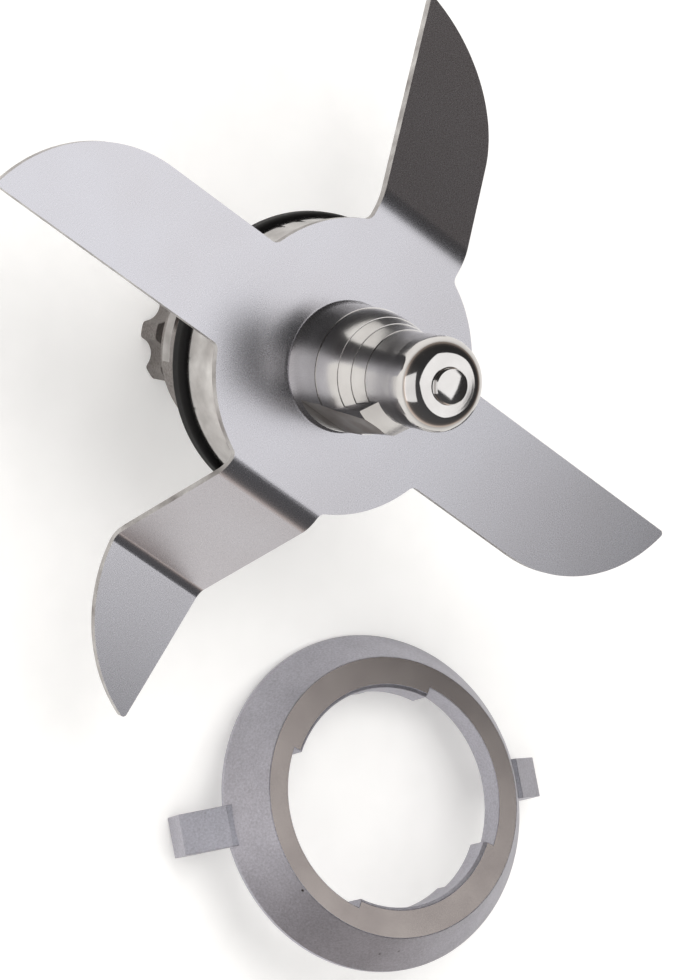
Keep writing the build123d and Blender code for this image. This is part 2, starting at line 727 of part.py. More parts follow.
def ring_rest():
    """Place of the ring at rest on the surface: both ears and one edge of its rim touch it."""
    lean = math.atan2(EAR_DEPTH - RING_LIP_DEPTH, RING_RIM_RADIUS - EAR_WIDTH / 2)
    height = star_bottom + RING_LIP_DEPTH * math.cos(lean) + RING_RIM_RADIUS * math.sin(lean)
    ear_line = Rot(0, 0, RING_LEAN_DIRECTION + 90)
    return Pos(RING_CENTRE_X, RING_CENTRE_Y, height) * ear_line * Rot(math.degrees(lean), 0, 0)


def retaining_ring():
    return ring_rest() * ring_in_own_frame()


def all_pieces():
    pieces = {
        "bearing_housing": bearing_housing(),
        "jar_seal": jar_seal(),
        "shaft_seal_case": shaft_seal_case(),
        "shaft_seal_lip": shaft_seal_lip(),
        "seal_spring": seal_spring(),
        "circlip": circlip(),
        "spindle": spindle(),
        "spacer_sleeve": spacer_sleeve(),
        "blade": blade(),
        "cap_nut": cap_nut(),
        "drive_coupling": drive_coupling(),
        "coupling_damper": coupling_damper(),
        "coupling_washer": coupling_washer(),
        "coupling_nut": coupling_nut(),
        "retaining_ring": retaining_ring(),
    }
    pieces.update(bearing("upper", upper_bearing_bottom))
    pieces.update(bearing("lower", lower_bearing_bottom))
    return pieces


os.makedirs("parts", exist_ok=True)
for node, piece in all_pieces().items():
    export_step(piece, f"parts/{node}.step")
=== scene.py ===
"""Looks of a blender blade unit and its loose retaining ring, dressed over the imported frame."""

import json
import logging
import math
from dataclasses import dataclass, fields
from enum import Enum
from functools import partial
from typing import Any, Iterable, Sequence

import bmesh
import bpy
from mathutils import Matrix, Vector

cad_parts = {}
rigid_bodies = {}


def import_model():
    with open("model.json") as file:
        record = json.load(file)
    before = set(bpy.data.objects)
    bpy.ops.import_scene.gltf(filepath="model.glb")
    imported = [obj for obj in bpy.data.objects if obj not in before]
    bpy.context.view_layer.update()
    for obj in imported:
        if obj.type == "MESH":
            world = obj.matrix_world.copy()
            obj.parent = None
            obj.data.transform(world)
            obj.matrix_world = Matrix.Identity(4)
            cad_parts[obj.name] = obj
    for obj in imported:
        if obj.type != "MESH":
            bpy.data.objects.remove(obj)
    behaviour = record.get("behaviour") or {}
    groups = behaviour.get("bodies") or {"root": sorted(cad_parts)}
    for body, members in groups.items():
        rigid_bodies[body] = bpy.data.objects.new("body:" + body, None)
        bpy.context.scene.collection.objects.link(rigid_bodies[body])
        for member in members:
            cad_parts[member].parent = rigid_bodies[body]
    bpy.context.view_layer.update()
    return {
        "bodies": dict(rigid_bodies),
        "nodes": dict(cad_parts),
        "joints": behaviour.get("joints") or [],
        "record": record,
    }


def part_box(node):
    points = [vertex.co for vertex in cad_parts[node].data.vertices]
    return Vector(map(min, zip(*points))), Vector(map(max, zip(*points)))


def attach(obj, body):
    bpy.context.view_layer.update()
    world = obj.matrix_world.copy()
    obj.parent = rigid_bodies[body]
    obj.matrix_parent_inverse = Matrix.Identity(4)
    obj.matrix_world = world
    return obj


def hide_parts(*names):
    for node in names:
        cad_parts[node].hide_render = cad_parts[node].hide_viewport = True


# Hints for two and three numbers, and for the hex colours along a ramp
Pair = tuple[float, float]
Triple = tuple[float, float, float]
Stops = tuple[tuple[float, str], ...]

LOG = logging.getLogger("blade_unit")
MM = 0.001
WHITE = (1.0, 1.0, 1.0, 1.0)
# Corners of the frame closer than this are one point, and faces that lean less are one face
WELD_MM = 0.002
FLAT_DEG = 0.3
# Only edges steeper than this are softened
SOFTENED_DEG = 32.0
# Radius of the circle that the lathe tree sweeps a profile along, in millimetres
GUIDE_RADIUS = 10.0
# The loaded frame, filled once by main
FRAME: dict[str, Any] = {}


class Body(Enum):
    """Bodies of the frame that a new piece rides on."""

    UNIT = "unit"
    ROTOR = "rotor"


class Slot(Enum):
    """Material slots of the record that a new piece takes its finish from."""

    BLADE = "blade_sheet"
    POLISHED = "polished_steel"
    TURNED = "turned_steel"
    CAST = "cast_metal"
    RUBBER = "black_rubber"


def linear(hex_colour: str) -> tuple[float, float, float, float]:
    """Turn an sRGB hex colour into linear RGBA.

    Args:
        hex_colour: Six hex digits with a leading hash.

    Returns:
        Linear red, green, blue and an alpha of one.
    """
    channels = [int(hex_colour[i : i + 2], 16) / 255 for i in (1, 3, 5)]
    curved = [c / 12.92 if c <= 0.04045 else ((c + 0.055) / 1.055) ** 2.4 for c in channels]
    return (curved[0], curved[1], curved[2], 1.0)


def pattern_scale(size_mm: float) -> float:
    """Scale of a texture whose grain measures this many millimetres."""
    return 1 / (size_mm * MM)


def link_inputs(tree: Any, node: Any, **links: Any) -> None:
    """Link sockets into the inputs of a node.

    Args:
        tree: Node tree that holds the node.
        node: Node whose inputs are linked.
        links: Source sockets, or nodes for their first output, each by the input's name with its
            spaces as underscores, or by n and its number.
    """
    for key, source in links.items():
        name = key.replace("_", " ")
        by_number = name[0] == "n" and name[1:].isdigit()
        socket = source.outputs[0] if isinstance(source, bpy.types.Node) else source
        tree.links.new(socket, node.inputs[int(name[1:])] if by_number else node.inputs[name])


def add_node(tree: Any, kind: str, settings: dict[str | int, Any] | None = None, **links: Any) -> Any:
    """Add a node with its settings and links.

    Args:
        tree: Node tree that gets the node.
        kind: Blender's node type.
        settings: Node properties by name, input values by name or number, or the stops of a ramp
            with their hex colours or grey levels.
        links: Sources, as link_inputs takes them.

    Returns:
        The new node.
    """
    node = tree.nodes.new(kind)
    for key, value in (settings or {}).items():
        if key == "stops":
            while len(node.color_ramp.elements) < len(value):
                node.color_ramp.elements.new(1.0)
            for element, (position, level) in zip(node.color_ramp.elements, value):
                element.position = position
                element.color = linear(level) if isinstance(level, str) else (level, level, level, 1.0)
        elif isinstance(key, str) and hasattr(node, key):
            setattr(node, key, value)
        else:
            node.inputs[key].default_value = value
    link_inputs(tree, node, **links)
    return node


def new_material(name: str, metallic: float) -> tuple[Any, Any, Any]:
    """Make an empty material with one principled shader.

    Args:
        name: Name of the finish.
        metallic: One for a metal, zero for anything else.

    Returns:
        The material, its node tree and its principled shader.
    """
    material = bpy.data.materials.new(name)
    material.use_nodes = True
    tree = material.node_tree
    tree.nodes.clear()
    output = tree.nodes.new("ShaderNodeOutputMaterial")
    shader = tree.nodes.new("ShaderNodeBsdfPrincipled")
    shader.inputs["Metallic"].default_value = metallic
    tree.links.new(shader.outputs["BSDF"], output.inputs["Surface"])
    return material, tree, shader


def object_place(tree: Any) -> Any:
    """Socket with the place on the piece, in metres."""
    return add_node(tree, "ShaderNodeTexCoord").outputs["Object"]


def shaft_place(tree: Any) -> tuple[Any, Any]:
    """Distance from the shaft and height, both from object coordinates.

    Args:
        tree: Node tree that gets the nodes.

    Returns:
        Sources for the radius and the height, in metres.
    """
    add = partial(add_node, tree)
    parts = add("ShaderNodeSeparateXYZ", Vector=object_place(tree))
    square_x = add("ShaderNodeMath", {"operation": "POWER", 1: 2.0}, n0=parts.outputs["X"])
    square_y = add("ShaderNodeMath", {"operation": "POWER", 1: 2.0}, n0=parts.outputs["Y"])
    total = add("ShaderNodeMath", {"operation": "ADD"}, n0=square_x, n1=square_y)
    return add("ShaderNodeMath", {"operation": "SQRT"}, n0=total), parts.outputs["Z"]


@dataclass(frozen=True)
class GrainedFinish:
    """A surface whose tone drifts slowly, and whose fine grain shows in its gloss and relief."""

    name: str
    tones: Stops
    cloud_mm: float
    grain_mm: float
    grain_depth_mm: float
    bump: float
    roughness: Pair
    cloud_detail: float = 2.0
    grain_detail: float = 3.0
    metallic: float = 1.0
    specular: float = 0.5

    def build(self) -> Any:
        """Make the material.

        Returns:
            The material.
        """
        material, tree, shader = new_material(self.name, self.metallic)
        shader.inputs["Specular IOR Level"].default_value = self.specular
        add = partial(add_node, tree)
        place = object_place(tree)
        drift = {"Scale": pattern_scale(self.cloud_mm), "Detail": self.cloud_detail}
        cloud = add("ShaderNodeTexNoise", drift, Vector=place)
        tone = add("ShaderNodeValToRGB", {"stops": self.tones}, Fac=cloud)
        fine = {"Scale": pattern_scale(self.grain_mm), "Detail": self.grain_detail}
        grain = add("ShaderNodeTexNoise", fine, Vector=place)
        low, high = self.roughness
        rough = add("ShaderNodeMapRange", {"To Min": low, "To Max": high}, Value=grain)
        relief = {"Strength": self.bump, "Distance": self.grain_depth_mm * MM}
        bump = add("ShaderNodeBump", relief, Height=grain)
        link_inputs(tree, shader, Base_Color=tone, Roughness=rough, Normal=bump)
        return material


@dataclass(frozen=True)
class SatinSheet(GrainedFinish):
    """Stainless sheet, rolled and then glass-blasted and tumbled: pale grey with soft highlights."""

    name: str = "blasted_stainless_sheet"
    tones: Stops = ((0.3, "#cfcdd2"), (0.7, "#d3d2d8"))
    cloud_mm: float = 14.0
    # Blast marks are a few hundredths of a millimetre wide: drawn coarser so that they show
    grain_mm: float = 0.16
    grain_depth_mm: float = 0.01
    bump: float = 0.015
    roughness: Pair = (0.26, 0.29)


@dataclass(frozen=True)
class MachinedFace(GrainedFinish):
    """Cast steel faced off on a lathe: smoother and browner than the casting, with fine tool marks."""

    name: str = "faced_cast_steel"
    tones: Stops = ((0.3, "#948c89"), (0.7, "#a19995"))
    cloud_mm: float = 7.0
    grain_mm: float = 0.22
    grain_depth_mm: float = 0.01
    bump: float = 0.2
    roughness: Pair = (0.12, 0.24)
    grain_detail: float = 2.0


@dataclass(frozen=True)
class MouldedRubber(GrainedFinish):
    """Black food-grade rubber, moulded: dull with a faint satin bloom."""

    name: str = "moulded_black_rubber"
    tones: Stops = ((0.35, "#0a0909"), (0.75, "#121010"))
    cloud_mm: float = 0.5
    grain_mm: float = 0.5
    grain_depth_mm: float = 0.03
    bump: float = 0.15
    roughness: Pair = (0.42, 0.6)
    cloud_detail: float = 3.0
    metallic: float = 0.0
    specular: float = 0.2


@dataclass(frozen=True)
class CagePlastic:
    """Glass-filled polyamide, moulded: warm matt brown of a bearing cage."""

    name: str = "moulded_polyamide"
    tones: Stops = ((0.3, "#8a6f45"), (0.8, "#a08355"))
    speck_mm: float = 0.3
    roughness: float = 0.5

    def build(self) -> Any:
        """Make the plastic.

        Returns:
            The material.
        """
        material, tree, shader = new_material(self.name, 0.0)
        shader.inputs["Roughness"].default_value = self.roughness
        fine = {"Scale": pattern_scale(self.speck_mm)}
        speck = add_node(tree, "ShaderNodeTexNoise", fine, Vector=object_place(tree))
        tone = add_node(tree, "ShaderNodeValToRGB", {"stops": self.tones}, Fac=speck)
        link_inputs(tree, shader, Base_Color=tone)
        return material


@dataclass(frozen=True)
class TurnedSteel:
    """Stainless bar turned on a lathe and buffed: near-mirror, with faint rings left by the tool."""

    name: str
    colour: str
    roughness: float
    ring_pitch_mm: float
    ring_depth_mm: float
    light: str = "#dcdad8"
    bump: float = 0.35
    haze_mm: float = 3.5
    haze_spread: Pair = (0.7, 1.4)
    tone_span: Pair = (0.3, 0.75)

    def build(self) -> Any:
        """Make the turned metal.

        Returns:
            The material.
        """
        material, tree, shader = new_material(self.name, 1.0)
        add = partial(add_node, tree)
        radius, height = shaft_place(tree)
        along = add("ShaderNodeMath", {"operation": "ADD"}, n0=radius, n1=height)
        pitch = {"operation": "MULTIPLY", 1: pattern_scale(self.ring_pitch_mm)}
        scaled = add("ShaderNodeMath", pitch, n0=along)
        rings = add("ShaderNodeTexNoise", {"noise_dimensions": "1D", "Scale": 1.0, "Detail": 2.0}, W=scaled)
        drift = {"Scale": pattern_scale(self.haze_mm), "Detail": 3.0}
        haze = add("ShaderNodeTexNoise", drift, Vector=object_place(tree))
        low, high = (self.roughness * share for share in self.haze_spread)
        rough = add("ShaderNodeMapRange", {"To Min": low, "To Max": high}, Value=haze)
        relief = {"Strength": self.bump, "Distance": self.ring_depth_mm * MM}
        bump = add("ShaderNodeBump", relief, Height=rings)
        start, end = self.tone_span
        tone = add("ShaderNodeValToRGB", {"stops": ((start, self.colour), (end, self.light))}, Fac=haze)
        link_inputs(tree, shader, Base_Color=tone, Roughness=rough, Normal=bump)
        return material


@dataclass(frozen=True)
class CastMetal:
    """Investment-cast stainless steel, blasted and left bare: fine sandy grain and small pits."""

    name: str = "blasted_cast_steel"
    light: str = "#cecdd6"
    dark: str = "#afaeb6"
    pit_tone: str = "#4c4745"
    # The grit leaves dimples under a tenth of a millimetre: drawn at three times that so that they show
    grain_mm: float = 0.3
    grain_depth_mm: float = 0.05
    bump: float = 0.5
    patch_mm: float = 5.0
    patch_share: float = 0.35
    tone_span: Pair = (0.45, 0.88)
    pit_mm: float = 2.2
    # A pit fades out towards its rim, and about a quarter of the cells have one
    pit_fade: tuple[Pair, ...] = ((0.05, 1.0), (0.13, 0.0))
    pitted_cells: tuple[Pair, ...] = ((0.70, 0.0), (0.72, 1.0))
    roughness: Pair = (0.4, 0.52)

    def build(self) -> Any:
        """Make the cast metal.

        Returns:
            The material.
        """
        material, tree, shader = new_material(self.name, 1.0)
        add = partial(add_node, tree)
        place = object_place(tree)
        fine = {"Scale": pattern_scale(self.grain_mm), "Detail": 3.0, "Roughness": 0.65}
        grain = add("ShaderNodeTexNoise", fine, Vector=place)
        broad = {"Scale": pattern_scale(self.patch_mm), "Detail": 2.0}
        patch = add("ShaderNodeTexNoise", broad, Vector=place)
        blend = {"operation": "MULTIPLY_ADD", 1: self.patch_share}
        mixed = add("ShaderNodeMath", blend, n0=patch, n2=grain)
        start, end = self.tone_span
        tone = add("ShaderNodeValToRGB", {"stops": ((start, self.dark), (end, self.light))}, Fac=mixed)
        cells = add("ShaderNodeTexVoronoi", {"Scale": pattern_scale(self.pit_mm)}, Vector=place)
        near = add("ShaderNodeValToRGB", {"stops": self.pit_fade}, Fac=cells.outputs["Distance"])
        some = add("ShaderNodeValToRGB", {"stops": self.pitted_cells}, Fac=cells.outputs["Color"])
        pit = add("ShaderNodeMath", {"operation": "MULTIPLY"}, n0=near, n1=some)
        colour = add("ShaderNodeMixRGB", {"Color2": linear(self.pit_tone)}, Fac=pit, Color1=tone)
        height = add("ShaderNodeMath", {"operation": "SUBTRACT"}, n0=grain, n1=pit)
        relief = {"Strength": self.bump, "Distance": self.grain_depth_mm * MM}
        bump = add("ShaderNodeBump", relief, Height=height)
        low, high = self.roughness
        rough = add("ShaderNodeMapRange", {"To Min": low, "To Max": high}, Value=grain)
        link_inputs(tree, shader, Base_Color=colour, Roughness=rough, Normal=bump)
        return material


@dataclass
class Finishes:
    """Every finish of the unit: given as a description, and turned into its material once."""

    satin: Any = SatinSheet()
    # The sheared rims are really rougher; their dark brownish tone is a painted dark reflection along the
    # sheet's edges
    sheared: Any = TurnedSteel("sheared_sheet_edge_painted_shade", "#8f8a88", 0.34, 0.5, 0.01)
    mirror: Any = TurnedSteel("buffed_stainless", "#cfccca", 0.09, 0.25, 0.004)
    buffed: Any = TurnedSteel("buffed_barrel", "#cbc8c6", 0.17, 0.25, 0.006)
    milled: Any = TurnedSteel("milled_spanner_flat", "#c2b8b0", 0.36, 0.4, 0.01)
    turned: Any = TurnedSteel("turned_stainless", "#aaa6a4", 0.13, 0.18, 0.0015)
    ground: Any = TurnedSteel("ground_bearing_steel", "#c4c4c6", 0.12, 0.1, 0.003)
    spring: Any = TurnedSteel("phosphated_spring_steel", "#6e6c6b", 0.35, 0.3, 0.01)
    pressed: Any = TurnedSteel("pressed_steel", "#b4b3b2", 0.24, 0.4, 0.008)
    cast: Any = CastMetal()
    star: Any = CastMetal("tumbled_cast_steel", "#b0aba8", "#7f7a78")
    machined: Any = MachinedFace()
    rubber: Any = MouldedRubber()
    cage: Any = CagePlastic()

    def __post_init__(self) -> None:
        """Build each finish, in the order given."""
        for finish in fields(self):
            setattr(self, finish.name, getattr(self, finish.name).build())


def put_in_scene(name: str, mesh: Any, material: Any) -> Any:
    """Link a mesh as an object at the origin with one material.

    Args:
        name: Name of the piece.
        mesh: Mesh data in metres.
        material: Finish of the piece.

    Returns:
        The new object.
    """
    piece = bpy.data.objects.new(name, mesh)
    bpy.context.scene.collection.objects.link(piece)
    mesh.materials.clear()
    mesh.materials.append(material)
    return piece


def apply_modifiers(piece: Any) -> None:
    """Turn an object's live modifiers into plain mesh.

    Args:
        piece: Object that is changed.
    """
    graph = bpy.context.evaluated_depsgraph_get()
    mesh = bpy.data.meshes.new_from_object(piece.evaluated_get(graph))
    piece.modifiers.clear()
    piece.data = mesh


def turn_outwards(mesh: Any) -> None:
    """Turn the faces of a closed mesh outwards.

    Args:
        mesh: Mesh that is changed.
    """
    work = bmesh.new()
    work.from_mesh(mesh)
    bmesh.ops.recalc_face_normals(work, faces=work.faces)
    work.to_mesh(mesh)
    work.free()


def soften(piece: Any, width_mm: float, segments: int, steeper_deg: float) -> None:
    """Soften the edges of a piece with a live bevel.

    Args:
        piece: Piece that gets the bevel.
        width_mm: Width of the softened edges.
        segments: Segments of each softened edge.
        steeper_deg: Only edges steeper than this are softened.
    """
    bevel = piece.modifiers.new("softened_edges", "BEVEL")
    bevel.width = width_mm * MM
    bevel.segments = segments
    bevel.limit_method = "ANGLE"
    bevel.angle_limit = math.radians(steeper_deg)


def settle(piece: Any, sharp_deg: float = 30.0) -> None:
    """Shade an object smooth up to an angle and turn its modifiers into plain mesh.

    Args:
        piece: Object, with or without live modifiers.
        sharp_deg: Edges steeper than this stay sharp.
    """
    base = piece.data
    base.polygons.foreach_set("use_smooth", [True] * len(base.polygons))
    base.set_sharp_from_angle(angle=math.radians(sharp_deg))
    even = piece.modifiers.new("even_shading", "WEIGHTED_NORMAL")
    even.keep_sharp = True
    even.weight = 100
    apply_modifiers(piece)


def merged_copy(node: str, name: str, material: Any, bevel_mm: float = 0.0) -> Any:
    """Copy a node of the frame as a welded mesh with softened corners.

    Args:
        node: Node of the frame.
        name: Name of the new piece.
        material: Finish of the piece.
        bevel_mm: Width of the softened edges, or zero for none.

    Returns:
        The new piece, which replaces the node.
    """
    source = FRAME["nodes"][node]
    work = bmesh.new()
    work.from_mesh(source.data)
    bmesh.ops.remove_doubles(work, verts=work.verts, dist=WELD_MM * MM)
    bmesh.ops.dissolve_limit(work, angle_limit=math.radians(FLAT_DEG), verts=work.verts, edges=work.edges)
    mesh = bpy.data.meshes.new(name)
    work.to_mesh(mesh)
    work.free()
    piece = put_in_scene(name, mesh, material)
    if bevel_mm:
        soften(piece, bevel_mm, segments=3, steeper_deg=SOFTENED_DEG)
    settle(piece)
    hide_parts(node)
    return piece


def even_turned_shading(piece: Any, least_facing: float = 0.95, per_mm: int = 20, per_lean: int = 3) -> None:
    """Give a turned piece the same shading lean all the way round each of its circles.

    Args:
        piece: Piece whose shape is round about the shaft, apart from a few flat ends.
        least_facing: Faces that look along their circle more than this leaves are passed over.
        per_mm: Circles are told apart by this many steps to the millimetre.
        per_lean: Faces of one circle are told apart by this many steps of lean.
    """
    mesh = piece.data
    normals = [corner.vector.copy() for corner in mesh.corner_normals]
    circles: dict[tuple[int, ...], list[tuple[int, Vector, float, float]]] = {}
    for polygon in mesh.polygons:
        for index in polygon.loop_indices:
            place = mesh.vertices[mesh.loops[index].vertex_index].co
            outward = Vector((place.x, place.y, 0.0)).normalized()
            facing = polygon.normal.dot(outward)
            if facing**2 + polygon.normal.z**2 < least_facing:
                continue
            key = (round(place.xy.length / MM * per_mm), round(place.z / MM * per_mm))
            key += (round(facing * per_lean), round(polygon.normal.z * per_lean))
            lean = (index, outward, normals[index].dot(outward), normals[index].z)
            circles.setdefault(key, []).append(lean)
    for corners in circles.values():
        out = sum(corner[2] for corner in corners)
        up = sum(corner[3] for corner in corners)
        for index, outward, _, _ in corners:
            normals[index] = (outward * out + Vector((0, 0, up))).normalized()
    mesh.normals_split_custom_set(normals)


def dress_node(node: str, material: Any) -> None:
    """Give a carried node its finish.

    Args:
        node: Node of the frame.
        material: Its finish.
    """
    target = FRAME["nodes"][node]
    target.data.materials.clear()
    target.data.materials.append(material)


def lathe_tree(material: Any) -> tuple[Any, str]:
    """Geometry Nodes tree that turns a profile about the shaft.

    The profile lies in the XY plane: X is the radius less the guide circle's, Y is the height downwards.

    Args:
        material: Finish of the turned piece.

    Returns:
        The tree, and the identifier of its input for the number of segments.
    """
    tree = bpy.data.node_groups.new("turned_on_lathe", "GeometryNodeTree")
    tree.interface.new_socket("Profile", in_out="INPUT", socket_type="NodeSocketGeometry")
    segments = tree.interface.new_socket("Segments", in_out="INPUT", socket_type="NodeSocketInt")
    tree.interface.new_socket("Geometry", in_out="OUTPUT", socket_type="NodeSocketGeometry")
    add = partial(add_node, tree)
    source = add("NodeGroupInput")
    profile = add("GeometryNodeMeshToCurve", Mesh=source.outputs["Profile"])
    circle = {"mode": "RADIUS", "Radius": GUIDE_RADIUS * MM}
    guide = add("GeometryNodeCurvePrimitiveCircle", circle, Resolution=source.outputs["Segments"])
    swept = add("GeometryNodeCurveToMesh", Curve=guide, Profile_Curve=profile)
    # Closes the seam, and both poles where the profile starts and ends on the shaft
    welded = add("GeometryNodeMergeByDistance", {"Distance": 0.001 * MM}, Geometry=swept)
    real = add("GeometryNodeRealizeInstances", Geometry=welded)
    painted = add("GeometryNodeSetMaterial", {"Material": material}, Geometry=real)
    add("NodeGroupOutput", Geometry=painted)
    return tree, segments.identifier


def turned_piece(name: str, profile: Sequence[Pair], material: Any, segments: int) -> Any:
    """Turn a closed or pole-to-pole profile into a piece with the lathe tree.

    Args:
        name: Name of the piece.
        profile: Radius and height of each point, in millimetres.
        material: Finish of the piece.
        segments: Number of steps about the shaft.

    Returns:
        The turned object.
    """
    mesh = bpy.data.meshes.new(name)
    points = [((radius - GUIDE_RADIUS) * MM, -height * MM, 0.0) for radius, height in profile]
    mesh.from_pydata(points, [(n, n + 1) for n in range(len(points) - 1)], [])
    piece = put_in_scene(name, mesh, material)
    tree, count_input = lathe_tree(material)
    lathe = piece.modifiers.new("turned_on_lathe", "NODES")
    lathe.node_group = tree
    lathe[count_input] = segments
    apply_modifiers(piece)
    turn_outwards(piece.data)
    return piece


def hermite(start: Pair, start_run: Pair, end: Pair, end_run: Pair, steps: int) -> list[Pair]:
    """Points of a cubic curve, without its first point.

    Args:
        start: First point.
        start_run: Direction and pull at the first point.
        end: Last point.
        end_run: Direction and pull at the last point.
        steps: Number of points returned.

    Returns:
        Radius and height of each point.
    """
    points = []
    for n in range(1, steps + 1):
        t = n / steps
        a = 2 * t**3 - 3 * t**2 + 1
        b = t**3 - 2 * t**2 + t
        c = -2 * t**3 + 3 * t**2
        d = t**3 - t**2
        x = a * start[0] + b * start_run[0] + c * end[0] + d * end_run[0]
        y = a * start[1] + b * start_run[1] + c * end[1] + d * end_run[1]
        points.append((x, y))
    return points


def box_mesh(name: str, low: Vector, high: Vector) -> Any:
    """Plain box, used only as a cutter.

    Args:
        name: Name of the mesh.
        low: Its lowest corner in metres.
        high: Its highest corner in metres.

    Returns:
        The mesh.
    """
    work = bmesh.new()
    bmesh.ops.create_cube(work, size=1.0)
    middle = (low + high) / 2
    size = high - low
    for vert in work.verts:
        vert.co = Vector([middle[i] + vert.co[i] * size[i] for i in range(3)])
    mesh = bpy.data.meshes.new(name)
    work.to_mesh(mesh)
    work.free()
    return mesh


def combine(piece: Any, other_mesh: Any, operation: str) -> None:
    """Join, cut or trim a piece with another mesh.

    Args:
        piece: Piece that is changed.
        other_mesh: Mesh of the tool.
        operation: UNION, DIFFERENCE or INTERSECT.
    """
    tool = bpy.data.objects.new("tool", other_mesh)
    bpy.context.scene.collection.objects.link(tool)
    step = piece.modifiers.new("combine", "BOOLEAN")
    step.object = tool
    step.operation = operation
    step.solver = "EXACT"
    bpy.context.view_layer.update()
    apply_modifiers(piece)
    bpy.data.objects.remove(tool)


@dataclass
class CapNut:
    """Turned and buffed nose that clamps the blade, with one flat for the spanner.

    Lengths are in millimetres, and heights count from the blade's top face.
    """

    finishes: Finishes
    segments: int = 320
    base_radius: float = 8.5
    base_break: float = 0.15
    base_cone: float = 1.2
    cone_lip: float = 0.12
    barrel_radius: float = 8.1
    barrel_height: float = 5.8
    # Each turned band: start radius and height, start lean, end radius and height, end lean
    bands: tuple[tuple[float, float, float, float, float, float], ...] = (
        (7.98, 5.8, 0.06, 7.26, 9.9, 0.26),
        (7.16, 9.9, 0.26, 6.62, 12.1, 0.22),
        (6.52, 12.1, 0.21, 6.10, 14.6, 0.12),
        (6.00, 14.6, 0.08, 5.84, 18.0, 0.0),
        (6.00, 18.1, 0.0, 6.02, 22.1, 0.0),
    )
    band_points: int = 14
    shoulder_start: float = 22.1
    shoulder_pull: float = 3.4
    shoulder_rise: float = 0.2
    shoulder_points: int = 28
    ring: Pair = (3.75, 24.55)
    ring_inner: Pair = (2.4, 24.62)
    ring_lip: float = 0.08
    end_radius: float = 2.3
    end_break: float = 0.13
    height: float = 25.6
    crown: float = 0.26
    crown_points: int = 12
    neck_radius: float = 5.8
    nose_start: float = 20.0
    land_start: float = 0.1
    land_flat: float = 7.2
    land_half_width: float = 3.0
    land_top: float = 13.8
    land_top_radius: float = 7.4
    land_runout: float = 3.0
    cutter_reach: float = 20.0
    # A face of the flat looks along X more than this, and lies this close to the flat's plane
    flat_facing: float = 0.99
    flat_margin: float = 0.05
    sharp_deg: float = 24.0

    def profile(self, foot: float) -> list[Pair]:
        """Profile from the foot of the nut to its crowned end.

        Args:
            foot: Height of the blade's top face in millimetres.

        Returns:
            Radius and height of each point.
        """
        points = [(0.0, 0.0), (self.base_radius - self.base_break, 0.0), (self.base_radius, self.base_break)]
        points.append((self.barrel_radius + self.cone_lip, self.base_cone))
        points.append((self.barrel_radius, self.barrel_height))
        for r0, z0, lean0, r1, z1, lean1 in self.bands:
            reach = z1 - z0
            points.append((r0, z0))
            runs = ((-lean0 * reach, reach), (-lean1 * reach, reach))
            points += hermite((r0, z0), runs[0], (r1, z1), runs[1], self.band_points)
        start = (self.bands[-1][3], self.shoulder_start)
        pull = self.shoulder_pull
        points += hermite(start, (0.0, pull), self.ring, (-pull, self.shoulder_rise), self.shoulder_points)
        points += [self.ring_inner, (self.end_radius, self.ring_inner[1] + self.ring_lip)]
        edge = self.end_radius - self.end_break
        rim = self.height - self.crown
        points += [(self.end_radius, rim - self.end_break), (edge, rim)]
        for n in range(1, self.crown_points + 1):
            share = 1 - n / self.crown_points
            points.append((edge * share, self.height - self.crown * share**2))
        return [(radius, foot + height) for radius, height in points]

    def land_profile(self, foot: float) -> list[Pair]:
        """Profile of the cone that the raised land is cut from.

        Args:
            foot: Height of the blade's top face in millimetres.

        Returns:
            Radius and height of each point.
        """
        top = self.land_top + self.land_runout
        points = [(0.0, self.land_start), (self.barrel_radius, self.land_start)]
        points += [(self.barrel_radius, self.base_cone), (self.land_top_radius, self.land_top)]
        points += [(self.neck_radius, top), (0.0, top)]
        return [(radius, foot + height) for radius, height in points]

    def build(self) -> None:
        """Make the nut and let it stand for its node."""
        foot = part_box("cap_nut")[0][2] / MM
        piece = turned_piece("cap_nut_turned", self.profile(foot), self.finishes.mirror, self.segments)
        land = turned_piece("land", self.land_profile(foot), self.finishes.mirror, self.segments)
        half = self.land_half_width * MM
        reach = self.cutter_reach * MM
        low = Vector((0.0, -half, (foot + self.land_start / 2) * MM))
        high = Vector((reach, half, (foot + self.land_top + self.land_runout) * MM))
        combine(land, box_mesh("land_sides", low, high), "INTERSECT")
        combine(piece, land.data, "UNION")
        bpy.data.objects.remove(land)
        low = Vector((self.land_flat * MM, -reach, (foot + self.base_cone) * MM))
        high = Vector((1.5 * reach, reach, (foot + 2 * self.cutter_reach) * MM))
        combine(piece, box_mesh("spanner_flat", low, high), "DIFFERENCE")
        self.paint(piece.data, foot)
        settle(piece, self.sharp_deg)
        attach(piece, Body.ROTOR.value)
        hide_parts("cap_nut")
        LOG.info("cap nut: %d faces", len(piece.data.polygons))

    def paint(self, mesh: Any, foot: float) -> None:
        """Polish the nose, buff the barrel and leave the spanner's flat as milled.

        Args:
            mesh: Mesh of the nut.
            foot: Height of the blade's top face in millimetres.
        """
        mesh.materials.clear()
        for finish in (self.finishes.mirror, self.finishes.buffed, self.finishes.milled):
            mesh.materials.append(finish)
        for polygon in mesh.polygons:
            aside = abs(polygon.center.x - self.land_flat * MM)
            on_flat = polygon.normal.x > self.flat_facing and aside < self.flat_margin * MM
            on_nose = polygon.center.z > (foot + self.nose_start) * MM
            polygon.material_index = 2 if on_flat else 0 if on_nose else 1


@dataclass(frozen=True)
class Wing:
    """One wing of the blade: where it points, how long it is and where it is bent.

    Each bend has its distance from the shaft, the slope after it in degrees and its inner radius.
    """

    direction: float
    length: float
    curve_start: float
    bends: tuple[Triple, ...] = ()


